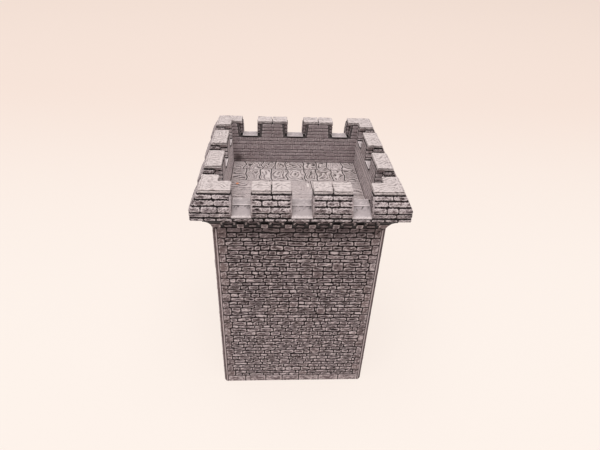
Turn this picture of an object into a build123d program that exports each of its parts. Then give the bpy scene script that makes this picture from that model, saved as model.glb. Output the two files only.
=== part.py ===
import os
from math import cos, radians, sin

from build123d import *

os.makedirs("parts", exist_ok=True)

# Crenellation along each side, from the middle crenel out to the corner
centre_crenel_width = 10.6
merlon_width = 18.7
side_crenel_width = 9.9
jamb_step_low = 1.4
jamb_step_high = 2.2
quoin_width = 8.9

# Body of the keep
wall_thickness = 4.0
base_course_height = 5.6
body_height = 130.3
quoin_round = 3.0

# Roof deck inside the parapet
deck_top = 116.9
deck_thickness = 5.0

# Corbel table under the overhang
arch_count = 7
corbel_width = 7.2
corner_corbel_width = 5.55
arch_crown_drop = 3.5
corbel_table_height = 9.3
corbel_projection = 4.2
corbel_band_height = 3.4
corbel_cove_sag = 0.6
slot_width = 3.9
slot_height = 2.7
slot_setback = 1.0

# String course and crenel sills
parapet_overhang = 8.8
string_course_height = 2.1
sill_height = 2.9
sill_flat_depth = 2.9
sill_lip_height = 0.3

# Merlons and their caps
merlon_height = 10.9
merlon_upright_height = 3.8
merlon_batter_depth = 3.9
cap_height = 2.0
cap_lip = 0.4
cap_slope_depth = 0.7
cap_inner_setback = 0.2
cap_joint = 0.4

# Cuts run past the solid that they cut by this much
overrun = 10.0

# Places along a side, measured from its middle
merlon_start = centre_crenel_width / 2
merlon_end = merlon_start + merlon_width
merlon_middle = (merlon_start + merlon_end) / 2
corner_start = merlon_end + side_crenel_width
wall_end = corner_start + jamb_step_low
wall_end_high = corner_start + jamb_step_high

# Heights and half widths worked out from the sizes above
body_half = wall_end + quoin_width
body_width = 2 * body_half
inner_half = body_half - wall_thickness
overhang_half = body_half + parapet_overhang
merlon_top_half = overhang_half - merlon_batter_depth
cap_low_half = merlon_top_half + cap_lip
cap_high_half = cap_low_half - cap_slope_depth
cap_inner_half = inner_half + cap_inner_setback
string_course_top = body_height + string_course_height
sill_top = string_course_top + sill_height
batter_start = string_course_top + merlon_upright_height
merlon_top = string_course_top + merlon_height
cap_top = merlon_top + cap_height
plan_reach = overhang_half + overrun

# The arches share what the corbels leave of the wall's width
corbels_total = (arch_count - 1) * corbel_width + 2 * corner_corbel_width
arch_width = (body_width - corbels_total) / arch_count
arch_pitch = arch_width + corbel_width
arch_spring = body_height - arch_crown_drop - arch_width / 2

# Each side is turned about the tower's axis; its corner is the one on its right, seen from outside
sides = [
    ("front", "front_right", 0),
    ("right", "back_right", 90),
    ("back", "back_left", 180),
    ("left", "front_left", 270),
]


def elevation(angle, distance):
    turn = radians(angle)
    outward = Vector(sin(turn), -cos(turn), 0)
    return Plane(origin=outward * distance, x_dir=(cos(turn), sin(turn), 0), z_dir=outward)


def plan(angle, height):
    turn = radians(angle)
    return Plane(origin=(0, 0, height), x_dir=(cos(turn), sin(turn), 0), z_dir=(0, 0, 1))


def section(angle):
    turn = radians(angle)
    return Plane(origin=(0, 0, 0), x_dir=(sin(turn), -cos(turn), 0), z_dir=(-cos(turn), -sin(turn), 0))


# Roof deck, set between the walls
with BuildPart() as roof_deck:
    with BuildSketch(plan(0, deck_top - deck_thickness)):
        Rectangle(2 * inner_half, 2 * inner_half)
    extrude(amount=deck_thickness)
roof_deck.part.label = "roof_deck"
export_step(roof_deck.part, "parts/roof_deck.step")

for side, corner, angle in sides:
    # Wall panel between the quoins, with the backs of its two merlons
    with BuildPart() as wall:
        with BuildSketch(elevation(angle, body_half)):
            with Locations((0, base_course_height)):
                Rectangle(2 * wall_end, sill_top - base_course_height, align=(Align.CENTER, Align.MIN))
            for middle in (-merlon_middle, merlon_middle):
                low_half = merlon_width / 2 - jamb_step_low
                high_half = merlon_width / 2 - jamb_step_high
                with BuildLine():
                    Polyline(
                        (middle - low_half, sill_top),
                        (middle + low_half, sill_top),
                        (middle + high_half, merlon_top),
                        (middle - high_half, merlon_top),
                        close=True,
                    )
                make_face()
        extrude(amount=-wall_thickness)
    wall.part.label = f"{side}_wall"
    export_step(wall.part, f"parts/{side}_wall.step")

    # Quoin strip around the corner, with a rounded arris
    with BuildPart() as quoin:
        for turn, hand in ((angle, 1), (angle + 90, -1)):
            with BuildSketch(elevation(turn, body_half)):
                with BuildLine():
                    Polyline(
                        (hand * wall_end, base_course_height),
                        (hand * body_half, base_course_height),
                        (hand * body_half, merlon_top),
                        (hand * wall_end_high, merlon_top),
                        (hand * wall_end, sill_top),
                        close=True,
                    )
                make_face()
            extrude(amount=-wall_thickness)
        arris = plan(angle, body_height).from_local_coords((body_half, -body_half, 0))
        fillet(quoin.edges().filter_by(Axis.Z).sort_by_distance(arris)[0], radius=quoin_round)
    quoin.part.label = f"{corner}_quoin"
    export_step(quoin.part, f"parts/{corner}_quoin.step")

    # Base course at the ground: front and back run the full width, the others fit between them
    full_width = side in ("front", "back")
    base_half = body_half if full_width else inner_half
    with BuildPart() as base_course:
        with BuildSketch(plan(angle, 0)):
            with Locations((0, -body_half)):
                Rectangle(2 * base_half, wall_thickness, align=(Align.CENTER, Align.MIN))
        extrude(amount=base_course_height)
        if full_width:
            outside = base_course.faces().sort_by_distance(elevation(angle, body_half).origin)[0]
            fillet(outside.edges().filter_by(Axis.Z), radius=quoin_round)
    base_course.part.label = f"{side}_base_course"
    export_step(base_course.part, f"parts/{side}_base_course.step")

    # Corbel table: a coved strip, mitred at the corners, cut by small round arches and by slots between them
    with BuildPart() as corbel_table:
        table_half = body_half + corbel_projection
        band_foot = body_height - corbel_band_height
        with BuildSketch(section(angle)):
            with BuildLine():
                foot = (body_half, body_height - corbel_table_height)
                shoulder = (table_half, band_foot)
                SagittaArc(foot, shoulder, corbel_cove_sag)
                Polyline(shoulder, (table_half, body_height), (body_half, body_height), foot)
            make_face()
        extrude(amount=plan_reach, both=True)
        with BuildSketch(plan(angle, 0)):
            with BuildLine():
                Polyline((0, 0), (plan_reach, -plan_reach), (-plan_reach, -plan_reach), close=True)
            make_face()
        extrude(amount=body_height, mode=Mode.INTERSECT)
        with BuildSketch(elevation(angle, body_half)):
            with Locations((0, arch_spring)):
                with GridLocations(arch_pitch, 0, arch_count, 1):
                    Circle(arch_width / 2)
                    Rectangle(arch_width, corbel_table_height, align=(Align.CENTER, Align.MAX))
        extrude(amount=parapet_overhang, mode=Mode.SUBTRACT)
        with BuildSketch(elevation(angle, body_half + slot_setback)):
            with Locations((0, band_foot - slot_height / 2)):
                with GridLocations(arch_pitch, 0, arch_count - 1, 1):
                    Rectangle(slot_width, slot_height)
        extrude(amount=parapet_overhang, mode=Mode.SUBTRACT)
    corbel_table.part.label = f"{side}_corbel_table"
    export_step(corbel_table.part, f"parts/{side}_corbel_table.step")

    # String course, mitred at the corners
    with BuildPart() as string_course:
        with BuildSketch(plan(angle, body_height)):
            with BuildLine():
                Polyline(
                    (body_half, -body_half),
                    (overhang_half, -overhang_half),
                    (-overhang_half, -overhang_half),
                    (-body_half, -body_half),
                    close=True,
                )
            make_face()
        extrude(amount=string_course_height)
    string_course.part.label = f"{side}_string_course"
    export_step(string_course.part, f"parts/{side}_string_course.step")

    # Crenel sills, flat against the wall and then sloping out to a thin lip
    with BuildPart() as crenel_sills:
        with BuildSketch(section(angle)):
            with BuildLine():
                Polyline(
                    (body_half, string_course_top),
                    (overhang_half, string_course_top),
                    (overhang_half, string_course_top + sill_lip_height),
                    (body_half + sill_flat_depth, sill_top),
                    (body_half, sill_top),
                    close=True,
                )
            make_face()
        extrude(amount=corner_start, both=True)
        with BuildSketch(elevation(angle, body_half)):
            with Locations((-merlon_middle, string_course_top), (merlon_middle, string_course_top)):
                Rectangle(merlon_width, sill_height, align=(Align.CENTER, Align.MIN))
        extrude(amount=parapet_overhang, mode=Mode.SUBTRACT)
    crenel_sills.part.label = f"{side}_crenel_sills"
    export_step(crenel_sills.part, f"parts/{side}_crenel_sills.step")

    # Two merlons with an upright foot and a battered face
    with BuildPart() as merlons:
        with BuildSketch(section(angle)):
            with BuildLine():
                Polyline(
                    (body_half, string_course_top),
                    (overhang_half, string_course_top),
                    (overhang_half, batter_start),
                    (merlon_top_half, merlon_top),
                    (body_half, merlon_top),
                    close=True,
                )
            make_face()
        extrude(amount=merlon_end, both=True)
        with BuildSketch(elevation(angle, body_half)):
            with Locations((0, string_course_top)):
                Rectangle(centre_crenel_width, merlon_height, align=(Align.CENTER, Align.MIN))
        extrude(amount=parapet_overhang, mode=Mode.SUBTRACT)
    merlons.part.label = f"{side}_merlons"
    export_step(merlons.part, f"parts/{side}_merlons.step")

    # Cap stones on the two merlons, a pair on each with a thin joint between
    with BuildPart() as merlon_caps:
        with BuildSketch(section(angle)):
            with BuildLine():
                Polyline(
                    (cap_inner_half, merlon_top),
                    (cap_low_half, merlon_top),
                    (cap_high_half, cap_top),
                    (cap_inner_half, cap_top),
                    close=True,
                )
            make_face()
        extrude(amount=merlon_end, both=True)
        with BuildSketch(elevation(angle, 0)):
            with Locations((0, merlon_top)):
                Rectangle(centre_crenel_width, cap_height, align=(Align.CENTER, Align.MIN))
            with Locations((-merlon_middle, merlon_top), (merlon_middle, merlon_top)):
                Rectangle(cap_joint, cap_height, align=(Align.CENTER, Align.MIN))
        extrude(amount=plan_reach, mode=Mode.SUBTRACT)
    merlon_caps.part.label = f"{side}_merlon_caps"
    export_step(merlon_caps.part, f"parts/{side}_merlon_caps.step")

    # Corner merlon: an L around the quoin, with the same foot and batter on both outer faces
    with BuildPart() as corner_merlon:
        with BuildSketch(plan(angle, string_course_top)):
            Rectangle(2 * overhang_half, 2 * overhang_half)
        extrude(amount=merlon_upright_height)
        with BuildSketch(plan(angle, batter_start)):
            Rectangle(2 * overhang_half, 2 * overhang_half)
        with BuildSketch(plan(angle, merlon_top)):
            Rectangle(2 * merlon_top_half, 2 * merlon_top_half)
        loft()
        with BuildSketch(plan(angle, string_course_top)):
            with Locations((corner_start, -corner_start)):
                Rectangle(plan_reach, plan_reach, align=(Align.MIN, Align.MAX))
        extrude(amount=merlon_height, mode=Mode.INTERSECT)
        with BuildSketch(plan(angle, string_course_top)):
            Rectangle(body_width, body_width)
        extrude(amount=merlon_height, mode=Mode.SUBTRACT)
    corner_merlon.part.label = f"{corner}_corner_merlon"
    export_step(corner_merlon.part, f"parts/{corner}_corner_merlon.step")

    # Corner cap, one L-shaped stone
    with BuildPart() as corner_cap:
        with BuildSketch(plan(angle, merlon_top)):
            Rectangle(2 * cap_low_half, 2 * cap_low_half)
        with BuildSketch(plan(angle, cap_top)):
            Rectangle(2 * cap_high_half, 2 * cap_high_half)
        loft()
        with BuildSketch(plan(angle, merlon_top)):
            with Locations((corner_start, -corner_start)):
                Rectangle(plan_reach, plan_reach, align=(Align.MIN, Align.MAX))
        extrude(amount=cap_height, mode=Mode.INTERSECT)
        with BuildSketch(plan(angle, merlon_top)):
            Rectangle(2 * cap_inner_half, 2 * cap_inner_half)
        extrude(amount=cap_height, mode=Mode.SUBTRACT)
    corner_cap.part.label = f"{corner}_corner_cap"
    export_step(corner_cap.part, f"parts/{corner}_corner_cap.step")
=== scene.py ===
import math
from itertools import pairwise

import bpy
import numpy as np
from mathutils import Matrix, Vector


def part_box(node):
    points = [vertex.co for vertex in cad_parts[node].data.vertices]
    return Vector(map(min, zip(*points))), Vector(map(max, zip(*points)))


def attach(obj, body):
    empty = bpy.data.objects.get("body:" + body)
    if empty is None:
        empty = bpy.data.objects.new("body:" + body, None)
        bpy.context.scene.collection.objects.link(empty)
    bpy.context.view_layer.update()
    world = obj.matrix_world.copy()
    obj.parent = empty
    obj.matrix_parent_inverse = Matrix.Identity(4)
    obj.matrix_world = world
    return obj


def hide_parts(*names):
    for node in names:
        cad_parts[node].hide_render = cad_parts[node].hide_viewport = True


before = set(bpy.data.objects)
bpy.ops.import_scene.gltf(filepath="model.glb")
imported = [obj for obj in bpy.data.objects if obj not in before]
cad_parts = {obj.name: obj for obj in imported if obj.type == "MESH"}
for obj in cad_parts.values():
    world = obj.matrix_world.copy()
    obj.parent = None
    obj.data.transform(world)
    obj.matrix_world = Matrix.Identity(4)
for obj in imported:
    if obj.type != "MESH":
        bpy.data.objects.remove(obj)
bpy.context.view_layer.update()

mm = 0.001

# Places taken from the frame: half widths are measured out from the tower's axis
wallLow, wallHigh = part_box("front_wall")
bodyFace, innerFace = -wallLow.y, -wallHigh.y
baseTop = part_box("front_base_course")[1].z
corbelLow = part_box("front_corbel_table")[0]
corbelFoot, corbelFace = corbelLow.z, -corbelLow.y
beltLow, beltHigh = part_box("front_string_course")
beltFoot, beltTop, beltFace = beltLow.z, beltHigh.z, -beltLow.y
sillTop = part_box("front_crenel_sills")[1].z
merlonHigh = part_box("front_merlons")[1]
merlonTop, merlonEnd = merlonHigh.z, merlonHigh.x
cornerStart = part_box("front_right_corner_merlon")[0].x
capLow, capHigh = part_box("front_merlon_caps")
capTop, capFace, capInner = capHigh.z, -capLow.y, -capHigh.y
deckLow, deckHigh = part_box("roof_deck")
deckUnder, deckTop = deckLow.z, deckHigh.z
sides = [("front", "front_right", 0), ("right", "back_right", 90),
         ("back", "back_left", 180), ("left", "front_left", 270)]
print("frame read, body half width", round(bodyFace / mm, 2), "mm")


# Stones: a grid of places across and up is worn into the face of one stone

hewing = {"rimShare": 0.3, "edgeShare": 0.4, "liftShares": (0.62, 1.0, 0.95), "ledgeShare": 0.35,
          "proudShares": (0.85, 1.1), "pullShare": 0.55, "hollowShares": (0.7, 1.2), "grain": 0.12,
          "ledgeRelief": 0.35, "wavesAcross": (0.8, 2), "wavesUp": (0.8, 2.5), "mostRelief": 1.2,
          "leastJoints": 3, "leastBeds": 2}    # smaller stones than that many joints or beds are left out
streak = {"numbers": (0.3, 1.1), "area": 9 * mm * mm, "middleShares": (0.25, 0.75), "reachShare": 0.4,
          "waves": (4, 12), "tilt": 1.1, "margin": 1.5 * mm, "lowest": 1.6 * mm, "swing": 0.2 * mm,
          "thick": (0.22, 0.4), "hollowChance": 0.74, "ridge": 0.5}
phases = (0, 6)    # where a wave may start, in radians
swellGain = 1.4    # brings a sum of waves to about -1 to 1


def toWorld(angle, along, out, up):    # along the side, outwards from the axis, up
    c, s = round(math.cos(math.radians(angle))), round(math.sin(math.radians(angle)))
    return np.stack([along * c + out * s, along * s - out * c, up], -1)


class StoneHeap:
    def __init__(self, name, seed):
        self.name, self.rng = name, np.random.default_rng(seed)
        self.points, self.faces, self.relief, self.tint, self.count = [], [], [], [], 0

    def add(self, points, relief, flip=False):    # a grid of points becomes one closed stone
        rows, cols = relief.shape
        index = self.count + np.arange(rows * cols).reshape(rows, cols)
        quads = np.stack([index[:-1, :-1], index[:-1, 1:], index[1:, 1:], index[1:, :-1]], -1)
        back = np.concatenate([index[0], index[1:, -1], index[-1, -2::-1], index[-2:0:-1, 0]])[::-1]
        newFaces = quads.reshape(-1, 4).tolist() + [back.tolist()]
        self.faces += [face[::-1] for face in newFaces] if flip else newFaces
        self.points.append(points.reshape(-1, 3))
        self.relief.append(relief.ravel())
        self.tint.append(np.full(rows * cols, self.rng.random()))
        self.count += rows * cols

    def makeObject(self, finish):
        mesh = bpy.data.meshes.new(self.name)
        mesh.from_pydata(np.concatenate(self.points).tolist(), [], self.faces)
        markPoints(mesh, np.concatenate(self.relief), np.concatenate(self.tint))
        mesh.polygons.foreach_set("use_smooth", [True] * len(mesh.polygons))
        mesh.materials.append(finish)
        piece = bpy.data.objects.new(self.name, mesh)
        bpy.context.scene.collection.objects.link(piece)
        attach(piece, "root")
        print(self.name, len(self.points), "stones", len(self.faces), "faces")
        return piece


def markPoints(mesh, relief, tint):    # what the paint reads on each point
    for label, values in (("relief", relief), ("tint", tint)):
        layer = mesh.attributes.new(label, "FLOAT", "POINT")
        layer.data.foreach_set("value", values.astype(np.float32))


def crowd(length, look, pace):    # places along one edge, close together at both ends
    rim = min(look["rim"], length * hewing["rimShare"])
    edge = min(look["edge"], rim * hewing["edgeShare"])
    middle = np.linspace(rim, length - rim, max(1, round((length - 2 * rim) / pace)) + 1)
    return np.concatenate([[0, edge], middle, [length - edge, length]])


def wrapPlaces(before, after, look, radius):    # places along a stone that turns a corner
    half = radius * math.pi / 4
    rim, edge, pace = look["rim"], look["edge"], look["pace"]
    first = np.linspace(rim, before - half, max(1, round((before - half - rim) / pace)) + 1)
    bend = np.linspace(before - half, before + half, 5)[1:-1]
    last = np.linspace(before + half, before + after - rim, max(1, round((after - half - rim) / pace)) + 1)
    return np.concatenate([[0, edge], first, bend, last, [before + after - edge, before + after]])


def pits(rng, across, up, length, height, look):    # wavy hollows inside a stone, and a few ridges below 0
    hollow = np.zeros(across.shape)
    amount = rng.uniform(*streak["numbers"]) * look["pitting"] * length * height / streak["area"]
    for number in range(1 + round(amount)):
        middle = rng.uniform(*streak["middleShares"]) * length
        reach = min(rng.uniform(*look["streaks"]), streak["reachShare"] * length)
        wave = np.sin(across / length * rng.uniform(*streak["waves"]) + rng.uniform(*phases))
        wave = wave + rng.normal(0, streak["tilt"]) * (across - middle) / mm
        room = 1 - streak["margin"] / max(height, streak["lowest"])
        line = height * (0.5 + rng.uniform(-0.5, 0.5) * room) + streak["swing"] * wave
        thick = rng.uniform(*streak["thick"]) * mm
        mark = np.exp(-((across - middle) / reach) ** 4 - ((up - line) / thick) ** 2)
        sunk = rng.random() < streak["hollowChance"]
        hollow = np.maximum(hollow, mark) if sunk else hollow - streak["ridge"] * mark
    return hollow


def hewStone(rng, s, t, look):    # s and t are places across and up; returns the worn grid
    length, height = s[-1], t[-1]
    cols, rows = len(s), len(t)
    across, up = np.meshgrid(s, t)
    i, j = np.meshgrid(np.arange(cols), np.arange(rows))
    fromBed = np.minimum(j, rows - 1 - j)
    ring = np.minimum(np.minimum(i, cols - 1 - i), fromBed)
    wobble, corner = look["wobble"], look["corner"]
    foot, head = rng.normal(0, wobble, cols), rng.normal(0, wobble, cols)
    left, right = rng.normal(0, wobble, (rows, 1)), rng.normal(0, wobble, (rows, 1))
    share = up / height
    newUp = up + np.clip(foot * (1 - share) + head * share, -2 * wobble, 2 * wobble)
    share = across / length
    newAcross = across + np.clip(left * (1 - share) + right * share, -2 * wobble, 2 * wobble)
    nearSide = np.clip(1 - np.minimum(across, length - across) / corner, 0, 1)
    nearEnd = np.clip(1 - np.minimum(up, height - up) / corner, 0, 1)
    pull = nearSide * nearEnd * corner * hewing["pullShare"]
    newAcross += pull * np.sign(length / 2 - across)
    newUp += pull * np.sign(height / 2 - up)
    proud = look["proud"] * rng.uniform(*hewing["proudShares"])
    ledge = (ring == 1) & (j == rows - 2)    # the wash lies on the top edge of a stone
    lifts = [-look["sink"], *(proud * part for part in hewing["liftShares"])]
    lift = np.where(ledge, proud * hewing["ledgeShare"], np.choose(np.minimum(ring, 3), lifts))
    rough = rng.normal(0, 1, ring.shape)
    lift = lift + rough * look["rough"] * (ring >= 2)
    lift = lift + (ring >= 1) * (rng.normal(0, look["tilt"]) * (across / length - 0.5)
                                 + rng.normal(0, look["tilt"]) * (up / height - 0.5))
    hollow = pits(rng, across, up, length, height, look) * (ring >= 3) * look["hollow"]
    hollow = hollow * rng.uniform(*hewing["hollowShares"])
    lift = lift - hollow * look["hollowDepth"]
    relief = np.choose(np.minimum(ring, 3), [0.0, *look["rings"]])
    relief = relief + hewing["grain"] * rough * (ring >= 2) - hollow
    worn = across / mm * rng.uniform(*hewing["wavesAcross"]) + up / mm * rng.uniform(*hewing["wavesUp"])
    relief = relief + look["rimWave"] * np.sin(worn + rng.uniform(*phases)) * (ring == 2)
    atEnd = (ring < 2) & (fromBed >= 2)
    relief = np.where(atEnd, np.maximum(relief, look["endRelief"]), relief - hewing["ledgeRelief"] * ledge)
    return newAcross, newUp, lift, np.clip(relief, 0, hewing["mostRelief"])


def hewBlock(rng, width, height, look):    # a stone with a flat face
    return hewStone(rng, crowd(width, look, look["pace"]), crowd(height, look, look["rowPace"]), look)


def hewTurn(rng, before, after, height, look, radius):    # a stone that turns a corner
    return hewStone(rng, wrapPlaces(before, after, look, radius), crowd(height, look, look["rowPace"]), look)


def roundCorner(path, lift, cornerAlong, cornerOut, radius):    # path runs round a corner, 0 at its arris
    half = radius * math.pi / 4
    theta = np.clip((path + half) / radius, 0, math.pi / 2)
    before, after = np.minimum(path + half, 0), np.maximum(path - half, 0)
    along = cornerAlong - radius + (radius + lift) * np.sin(theta) + before
    out = cornerOut - radius + (radius + lift) * np.cos(theta) - after
    return along, out


def layBead(heap, angle, hand, along, out, z, look):    # a plain strip up an arris; z is its places up
    share = np.array(look["shares"])
    reach = look["radius"] * math.pi / 4 + look["flat"]
    path = np.broadcast_to(np.concatenate([-share[:0:-1], share]) * reach, (len(z), 2 * len(share) - 1))
    noise = heap.rng.normal(0, 1, path.shape)
    inside = np.abs(path) < look["innerShare"] * reach
    lift = np.where(inside, look["proud"] + look["rough"] * noise, -look["sink"])
    relief = np.interp(np.abs(path) / reach, share, look["reliefs"]) + look["grain"] * noise
    relief = np.clip(relief * inside, 0, hewing["mostRelief"])
    along, out = roundCorner(path, lift, along[:, None], out[:, None], look["radius"])
    heap.add(toWorld(angle, along * hand, out, z[:, None] + 0 * path), relief, flip=hand < 0)


class Swell:    # a smooth random field made of a few long waves
    def __init__(self, rng, shortest, longest, count=7):
        heading, length = rng.uniform(0, 2 * math.pi, count), rng.uniform(shortest, longest, count)
        self.waves = np.stack([np.cos(heading), np.sin(heading)], -1) * 2 * math.pi / length[:, None]
        self.phases = rng.uniform(0, 2 * math.pi, count)

    def at(self, points):
        total = np.sin(points @ self.waves.T + self.phases).sum(-1)
        return total / math.sqrt(2 * len(self.phases)) * swellGain


# Finishes

class Wire:    # a socket that takes part in Python expressions
    def __init__(self, finish, socket):
        self.finish, self.socket = finish, socket

    def maths(self, operation, *values):
        return self.finish.node("ShaderNodeMath", {"operation": operation}, dict(enumerate(values)))

    def __add__(self, other):
        return self.maths("ADD", self, other)

    def __radd__(self, other):
        return self.maths("ADD", other, self)

    def __sub__(self, other):
        return self.maths("SUBTRACT", self, other)

    def __rsub__(self, other):
        return self.maths("SUBTRACT", other, self)

    def __mul__(self, other):
        return self.maths("MULTIPLY", self, other)

    def __rmul__(self, other):
        return self.maths("MULTIPLY", other, self)

    def __lt__(self, other):
        return self.maths("LESS_THAN", self, other)

    def __gt__(self, other):
        return self.maths("GREATER_THAN", self, other)

    def ease(self, low, high):    # 0 at low and below, 1 at high and above
        return self.finish.node("ShaderNodeMapRange", {"interpolation_type": "SMOOTHSTEP"},
                                {"Value": self, "From Min": low, "From Max": high})


class Finish:
    def __init__(self, name):
        self.material = bpy.data.materials.new(name)
        self.material.use_nodes = True
        self.tree = self.material.node_tree
        self.shader = next(n for n in self.tree.nodes if n.type == "BSDF_PRINCIPLED")
        self.places = self.node("ShaderNodeTexCoord", {}, {}, "Object")

    def feed(self, socket, value):
        if isinstance(value, Wire):
            self.tree.links.new(value.socket, socket)
        else:
            socket.default_value = value

    def node(self, kind, settings, values, out=0):
        made = self.tree.nodes.new(kind)
        for key, value in settings.items():
            setattr(made, key, value)
        for key, value in values.items():
            self.feed(made.inputs[key], value)
        return Wire(self, made.outputs[out])

    def attribute(self, label):
        return self.node("ShaderNodeAttribute", {"attribute_name": label}, {}, "Fac")

    def normal(self):
        return self.node("ShaderNodeNewGeometry", {}, {}, "Normal")

    def noise(self, size, detail=3.0):    # size of a blotch in metres
        values = {"Vector": self.places, "Scale": 1 / size, "Detail": detail}
        return self.node("ShaderNodeTexNoise", {}, values)

    def vector(self, operation, *values, out=0):
        return self.node("ShaderNodeVectorMath", {"operation": operation}, dict(enumerate(values)), out)

    def part(self, vector, axis):
        return self.node("ShaderNodeSeparateXYZ", {}, {0: vector}, axis)

    def mix(self, amount, *colours):
        first, second = (each if isinstance(each, Wire) else (*each, 1) for each in colours)
        return self.node("ShaderNodeMix", {"data_type": "RGBA"}, {0: amount, 6: first, 7: second}, 2)

    def bump(self, height, strength, distance):
        return self.node("ShaderNodeBump", {}, {"Height": height, "Strength": strength, "Distance": distance})

    def done(self, **sockets):
        for key, value in sockets.items():
            self.feed(self.shader.inputs[key.replace("_", " ")], value)
        return self.material


paint = {"fine": 0.7 * mm, "blotch": 3 * mm, "cloud": 16 * mm, "fineGrain": 0.5, "blotchGrain": 0.35,
         "tintShare": 0.5, "blotchShare": 0.4, "tintBase": 0.05, "tintLow": 0.1, "tintHigh": 0.9,
         "cloudLow": 0.35, "spotShare": 0.5, "bumpFine": 0.6, "bumpBlotch": 0.4, "bump": 0.5,
         "bumpDepth": 0.25 * mm, "roughness": 0.95, "brushPolish": 0.12, "shine": 0.25}


def paintedStone(name, look):    # grey paint, dark wash in the hollows, pale brush on what stands out
    f = Finish(name)
    relief, tint = f.attribute("relief"), f.attribute("tint")
    fine, blotch, cloud = (f.noise(paint[size]) for size in ("fine", "blotch", "cloud"))
    facing = f.part(f.normal(), "Z")
    grain = paint["fineGrain"] * (fine - 0.5) + paint["blotchGrain"] * (blotch - 0.5)
    height = relief + look["grain"] * grain
    shade = tint * paint["tintShare"] + blotch * paint["blotchShare"] + paint["tintBase"]
    body = f.mix(shade.ease(paint["tintLow"], paint["tintHigh"]), look["dark"], look["light"])
    body = f.mix((cloud - paint["cloudLow"]) * look["warmth"], body, look["warm"])
    brushed = (height + facing * look["fromAbove"]).ease(look["brushLow"], look["brushHigh"])
    colour = f.mix(brushed * look["brush"], body, look["edge"])
    washed = 1 - height.ease(look["washLow"], look["washHigh"])
    colour = f.mix(washed * look["washAmount"], colour, look["wash"])
    for place, core, reach, spotColour in look.get("spots", ()):    # small stains and flecks, and a dark patch low in one corner
        spot = 1 - f.vector("DISTANCE", f.places, place, out="Value").ease(core, reach)
        patchy = 1 - paint["spotShare"] + paint["spotShare"] * blotch
        colour = f.mix(spot * patchy, colour, spotColour)
    bumps = fine * paint["bumpFine"] + blotch * paint["bumpBlotch"]
    return f.done(Base_Color=colour, Roughness=paint["roughness"] - paint["brushPolish"] * brushed,
                  Normal=f.bump(bumps, paint["bump"], paint["bumpDepth"]), Specular_IOR_Level=paint["shine"])


wallLook = {"dark": (0.146, 0.11, 0.114), "light": (0.21, 0.161, 0.167), "warm": (0.25, 0.17, 0.15),
            "warmth": 0.8, "edge": (0.74, 0.62, 0.62), "wash": (0.016, 0.011, 0.011), "fromAbove": 0.12,
            "brushLow": 0.72, "brushHigh": 1.12, "brush": 0.85, "washLow": 0.1, "washHigh": 0.52,
            "washAmount": 0.94, "grain": 1.0}
quoinLook = {**wallLook, "brush": 0.7, "warmth": 1.2}
parapetLook = {**wallLook, "dark": (0.158, 0.122, 0.126), "light": (0.278, 0.225, 0.233),
               "edge": (0.74, 0.64, 0.64)}
corbelLook = {**wallLook, "edge": (0.66, 0.55, 0.53)}
liningLook = {**wallLook, "dark": (0.33, 0.265, 0.275), "light": (0.44, 0.365, 0.375),
              "edge": (0.62, 0.53, 0.53), "brush": 0.75, "washAmount": 0.8,
              # a dark patch low in the back corner beside the left lining
              "spots": [((-37 * mm, 40 * mm, 119.5 * mm), 0.6 * mm, 4.5 * mm, (0.05, 0.034, 0.03))]}
# paler copies of the lining paint for the right and left linings, as painted light
rightPaintedLightLook = {**liningLook, "dark": (0.44, 0.365, 0.375), "light": (0.58, 0.49, 0.5),
             "edge": (0.78, 0.69, 0.69)}
leftPaintedLightLook = {**liningLook, "dark": (0.54, 0.45, 0.46), "light": (0.7, 0.6, 0.61), "edge": (0.88, 0.79, 0.79),
            "washAmount": 0.65}
capLook = {**wallLook, "dark": (0.36, 0.3, 0.295), "light": (0.5, 0.425, 0.42), "edge": (0.72, 0.63, 0.615),
           "warm": (0.42, 0.35, 0.31), "warmth": 0.4, "fromAbove": 0.26, "brush": 0.9, "grain": 1.1}
sillLook = {**capLook, "dark": (0.40, 0.343, 0.348), "light": (0.49, 0.424, 0.433),
            "edge": (0.78, 0.69, 0.68), "fromAbove": 0.1}
deckLook = {**wallLook, "dark": (0.40, 0.335, 0.33), "light": (0.54, 0.46, 0.46), "edge": (0.68, 0.60, 0.59),
            "warm": (0.40, 0.31, 0.25), "warmth": 0.5, "fromAbove": 0.05, "grain": 1.7,
            "spots": [((-35.6 * mm, 8.9 * mm, 117.2 * mm), 0.7 * mm, 1.0 * mm, (0.9, 0.24, 0.03))]}
for y in (6.0, 7.6, 9.2):    # a pale smear
    deckLook["spots"].append(((7.2 * mm, y * mm, 117.2 * mm), 0.5 * mm, 1.0 * mm, (0.8, 0.72, 0.7)))
coreLook = {"blotch": 2.5 * mm, "fine": 0.6 * mm, "cloud": 9 * mm, "patchLow": 0.35, "patchHigh": 0.75,
            # a paler core colour for the slots under the belt, as painted light
            "washes": ((0.014, 0.011, 0.011), (0.05, 0.042, 0.042)), "slots": (0.055, 0.047, 0.047),
            "linings": ((0.07, 0.06, 0.06), (0.15, 0.13, 0.13)), "inwards": -0.4, "margin": 0.1 * mm,
            "resins": ((0.30, 0.29, 0.28), (0.37, 0.36, 0.35)),
            "roughness": 0.92, "shine": 0.2, "bump": 0.4, "bumpDepth": 0.2 * mm}


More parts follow.
